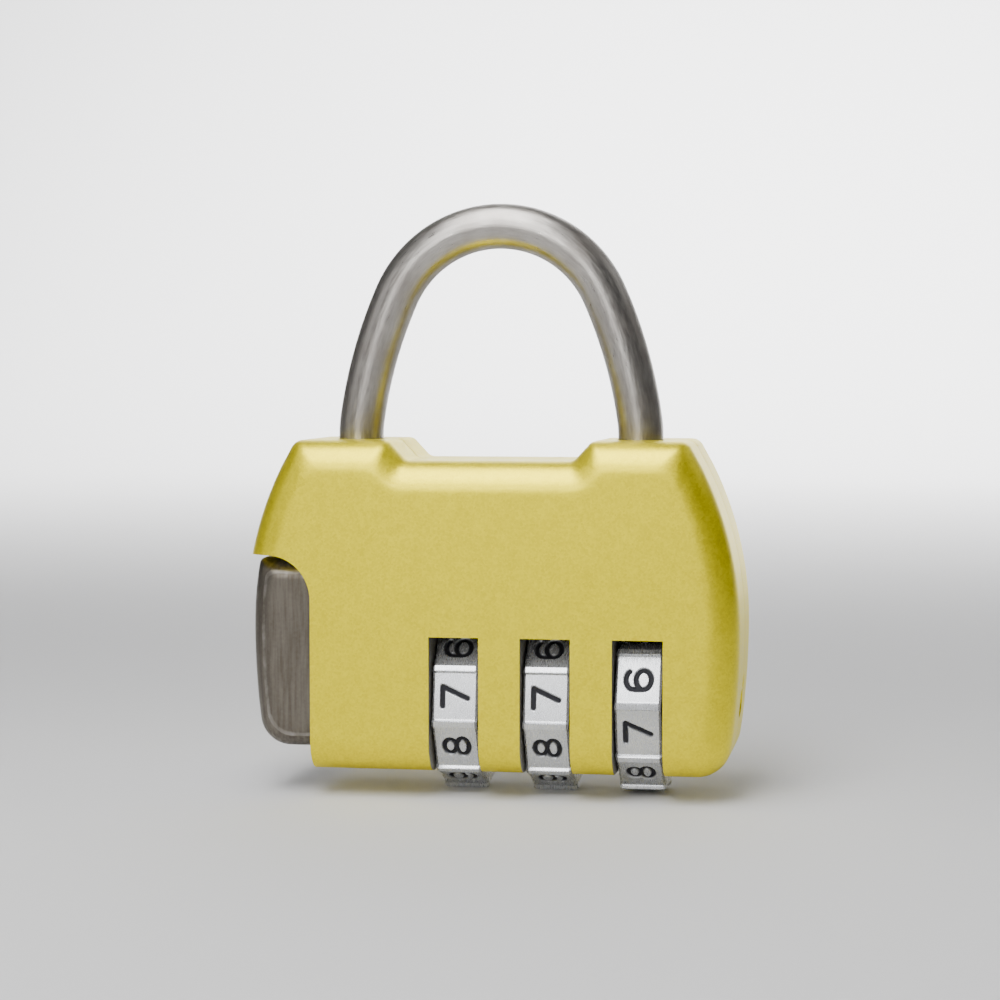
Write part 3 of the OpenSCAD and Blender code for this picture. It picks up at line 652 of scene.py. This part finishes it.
shackle = sweep_wire("shackle_wire", wire_line(), drawn_steel())
inner_side = -leg_x + leg_r
notch = box_profile(inner_side - notch_depth, inner_side + 1, notch_top - notch_tall, notch_top)
carve(shackle, [prism("notch", notch, 1, -past, past)])
keep_sharp(shackle, 40)
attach(shackle, "shackle_bow")
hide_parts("shackle")


# Side button. A bare zinc casting that fills the cut-out corner, set back from the shell, with
# rounded front, back and lower edges, rubbed by the thumb and given a painted highlight line.
button_low, button_high = (np.array(corner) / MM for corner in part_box("side_button"))
button_r, button_set, button_corner, button_top = 1.5, 0.45, 2.2, 0.5
# Place and width of the bright edge band, as shares of the rounding: wear and painted highlight
wear_highlight_place, wear_highlight_width = 0.92, 0.06


def button_outline(inset):
    """Closed outline in XZ: it follows the flank on the left and runs past slider_low on the right."""
    bottom, top, right = button_low[2] + inset, button_high[2] - inset, cut_x + 5
    rise = np.linspace(bottom + 3.2, top - 1.0, 16)
    flank = np.stack([-flank_x(rise) + button_set + inset, rise], 1)[::-1]
    top_x = -float(flank_x(top)) + button_set + inset
    low_x = -float(flank_x(bottom)) + button_set + inset
    return np.concatenate([
        [(right, bottom), (right, top)],
        arc_through((top_x, top), (right, top), flank[0], button_top + 0.2 * inset, 6),
        flank,
        arc_through((low_x, bottom), flank[-1], (right, bottom), button_corner - 0.4 * inset, 12)])


def make_button(material):
    """Two rounded slabs back to back, cut off square where the slider is riveted on."""
    side = button_high[1]
    front, back = (layered(button_outline, side, button_r, side=way) for way in (-1, 1))
    rings = np.array(front[::-1] + back[1:])
    piece = outward(mesh_piece("button_cap", *closed_loft(rings), material))
    # Bright narrow bell curve near the outer end of the rounding: wear, and a painted highlight line
    proud = np.abs(rings[:, :, 1]) - (side - button_r)
    wear_and_highlight = np.exp(-((proud / button_r - wear_highlight_place) / wear_highlight_width) ** 2) * (proud < button_r - 0.001)
    mask = piece.data.attributes.new("wear_and_highlight_band", "FLOAT", "POINT")
    mask.data.foreach_set("value", wear_and_highlight.ravel().astype(np.float32))
    shape = bmesh.new()
    shape.from_mesh(piece.data)
    cut = bmesh.ops.bisect_plane(shape, geom=shape.verts[:] + shape.edges[:] + shape.faces[:],
                                 plane_co=(slider_low[0] * MM, 0, 0), plane_no=(1, 0, 0),
                                 clear_outer=True)
    bmesh.ops.contextual_create(shape, geom=[e for e in cut["geom_cut"]
                                             if isinstance(e, bmesh.types.BMEdge)])
    bmesh.ops.recalc_face_normals(shape, faces=shape.faces)
    shape.to_mesh(piece.data)
    shape.free()
    keep_sharp(piece, 40)
    return piece


def cast_zinc():
    """Satin zinc with a faint vertical grain, darker in the pores, and lighter in a band along the rounded edges:
    rubbed zinc and a painted highlight.
    """
    zinc = Finish("button_zinc", Metallic=0.92)
    where = zinc.place()
    grain = zinc.stretched(where, (6.0, 6.0, 0.5), 600.0, 6.0)
    pores = zinc.noise(where, 5200.0, 3.0)
    tone = zinc.spread(grain * 0.8 + pores * 0.2, 0.36, 0.64)
    wear_and_highlight = zinc.node("Attribute", output="Fac", attribute_name="wear_and_highlight_band")
    wear_and_highlight = zinc.spread(wear_and_highlight * (0.2 + zinc.noise(where, 900.0)), 0.45, 0.95)
    casting = zinc.blend(tone, rgb(0.115, 0.10, 0.08), rgb(0.18, 0.16, 0.132))
    # The edge band turns a lighter grey: wear, and a painted highlight
    zinc.feed("Base Color", zinc.blend(wear_and_highlight, casting, rgb(0.40, 0.375, 0.34)))
    zinc.feed("Roughness", zinc.spread(tone, 0.0, 1.0, 0.46, 0.32) - wear_and_highlight * 0.12)
    zinc.bump(pores * 0.5 + grain, 0.012 * MM, 0.5)
    return zinc.material


button = make_button(cast_zinc())
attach(button, "button")
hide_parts("side_button")


# Inner pieces: slider, rivets, spindle, sleeves, pins, clips and springs. They keep their CAD
# shapes, and each metal gets its own finish with machining marks or a heat-blued film.
def inner_metal(name, dark, light, rough, grain_scale):
    """Plain metal with blotches between two tones and fine marks of the given scale."""
    metal = Finish(name, Metallic=1.0)
    where = metal.place()
    marks = metal.noise(where, grain_scale, 4.0)
    film = metal.noise(where, grain_scale / 6, 3.0)
    blotch = metal.spread(film * 0.6 + marks * 0.4, 0.35, 0.65)
    metal.feed("Base Color", metal.blend(blotch, dark, light))
    metal.feed("Roughness", metal.spread(marks, 0.3, 0.7, rough - 0.06, rough + 0.08))
    metal.bump(marks, 0.01 * MM, 0.5)
    return metal.material


inner_finishes = {
    "steel": inner_metal("bright_steel", rgb(0.42, 0.42, 0.43), rgb(0.62, 0.62, 0.63), 0.28, 2400.0),
    "spring_steel": inner_metal("spring_steel", rgb(0.15, 0.17, 0.22), rgb(0.34, 0.36, 0.40),
                                0.26, 2000.0),
    "brass": inner_metal("turned_brass", rgb(0.50, 0.34, 0.12), rgb(0.72, 0.54, 0.24), 0.24, 2600.0)}
for part in frame["record"]["subparts"]:
    node = frame["nodes"][part["node"]]
    if part["material_slot"] in inner_finishes and not node.hide_render:
        for material_slot in node.material_slots:
            material_slot.material = inner_finishes[part["material_slot"]]


# Studio: a pale floor that curves up into a backdrop, three soft lamps in front of the lock and
# above it, one to each side, one that washes the backdrop, and a faint even sky.
def sweep_floor(material, half=1.2, near=-1.0, far=0.5, bend=0.25, rise=1.4):
    """Strip that runs back along the floor, turns up through a quarter circle and climbs."""
    turn = np.linspace(0, math.pi / 2, 17)
    y = np.concatenate([[near], far + bend * np.sin(turn), [far + bend]])
    z = np.concatenate([[0.0], bend * (1 - np.cos(turn)), [rise]])
    left, right = (np.stack([np.full(len(y), x), y, z], 1) for x in (-half, half))
    points = np.concatenate([left, right]) / MM
    n = len(y)
    faces = [(i, n + i, n + i + 1, i + 1) for i in range(n - 1)]
    return mesh_piece("studio_floor", points, faces, material)


floor_finish = Finish("studio_white", Roughness=0.9)
floor_tone = floor_finish.noise(floor_finish.place(), 3.0)
floor_pale = floor_finish.blend(floor_tone, rgb(0.60, 0.60, 0.605), rgb(0.66, 0.66, 0.665))
floor_finish.feed("Base Color", floor_pale)
sweep_floor(floor_finish.material)


def softbox(name, place, size, power, aim=(0, 0, 0.02), spread=180):
    """Square area lamp at a place, turned to face the lock, with its beam limited to spread."""
    data = bpy.data.lights.new(name, "AREA")
    data.size, data.energy, data.spread = size, power, math.radians(spread)
    lamp = bpy.data.objects.new(name, data)
    lamp.location = place
    lamp.rotation_euler = (Vector(aim) - Vector(place)).to_track_quat("-Z", "Y").to_euler()
    bpy.context.collection.objects.link(lamp)


softbox("key", (-0.03, -0.13, 0.15), 0.09, 0.24)
softbox("front", (-0.05, -0.30, 0.105), 0.08, 0.24)
softbox("top", (-0.02, -0.04, 0.18), 0.10, 0.26)
softbox("fill_left", (-0.40, -0.22, 0.16), 0.22, 0.15)
softbox("rim_right", (0.30, 0.12, 0.25), 0.20, 0.08)
softbox("backdrop_wash", (0, 0.25, 0.8), 0.6, 12.0, aim=(0, 0.75, 0.1), spread=70)
sky = bpy.data.worlds.new("sky")
bpy.context.scene.world = sky
sky.use_nodes = True
sky.node_tree.nodes["Background"].inputs["Color"].default_value = rgb(0.95, 0.97, 1.0)
sky.node_tree.nodes["Background"].inputs["Strength"].default_value = 0.12
